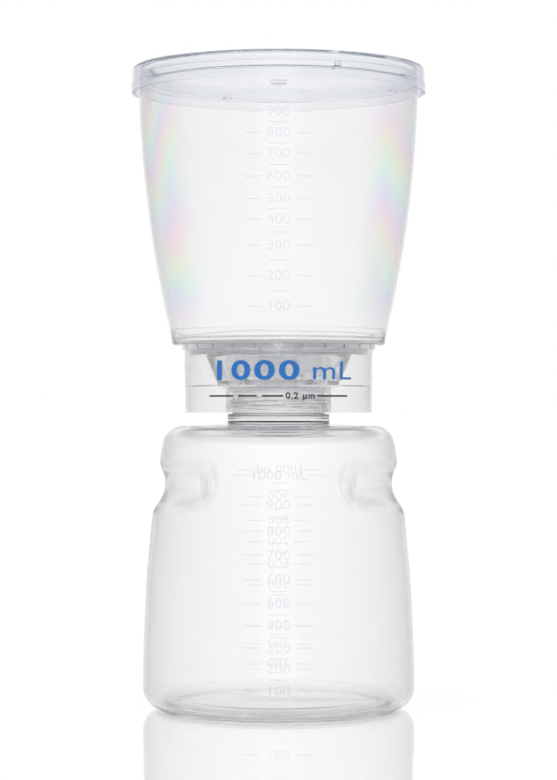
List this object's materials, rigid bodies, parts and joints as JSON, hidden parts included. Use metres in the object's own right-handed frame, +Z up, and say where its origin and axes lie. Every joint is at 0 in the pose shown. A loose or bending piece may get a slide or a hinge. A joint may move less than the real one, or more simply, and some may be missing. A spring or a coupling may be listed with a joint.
{
  "type": "vacuum filtration unit",
  "caption": "Clear plastic vacuum filter unit: a lidded funnel over a membrane and skirted neck adapter, screwed onto a receiver bottle with finger grips.",
  "frame": {"origin": "centre of the bottle's foot ring, on the surface it stands on", "axes": "+Z up along the axis of the unit, -Y towards the printed front with the scales, +X and -X through the finger grips, +Y towards the vacuum barb"},
  "size_m": [0.1308, 0.1308, 0.2841],
  "materials": {
    "clear_bottle": "clear glossy blown polystyrene",
    "clear_adapter": "clear glossy moulded polystyrene",
    "clear_plate": "clear glossy moulded polystyrene",
    "clear_funnel": "clear glossy moulded polystyrene",
    "clear_lid": "clear glossy moulded polystyrene, faintly blue",
    "seal": "soft translucent white elastomer",
    "fibre": "white fibre wadding",
    "filter_white": "matt white microporous film"
  },
  "bodies": {
    "bottle": {"receiver_bottle": "clear_bottle"},
    "seal": {"neck_gasket": "seal"},
    "upper_unit": {"neck_adapter": "clear_adapter", "vacuum_plug": "fibre", "support_plate": "clear_plate", "membrane": "filter_white", "funnel": "clear_funnel"},
    "cover": {"lid": "clear_lid"}
  },
  "joints": [
    {"name": "neck_rise", "type": "slide", "parent": "bottle", "child": "seal", "axis": [0, 0, 1], "range_m": [0, 0.00605]},
    {"name": "neck_turn", "type": "hinge", "parent": "seal", "child": "upper_unit", "pos_m": [0, 0, 0.1404], "axis": [0, 0, 1], "range_deg": [0, 540]},
    {"name": "lid_lift", "type": "slide", "parent": "upper_unit", "child": "cover", "axis": [0, 0, 1], "range_m": [0, 0.03]}
  ],
  "couplings": [
    {"joint": "neck_rise", "follows": "neck_turn", "m_per_rad": 0.00063662}
  ]
}
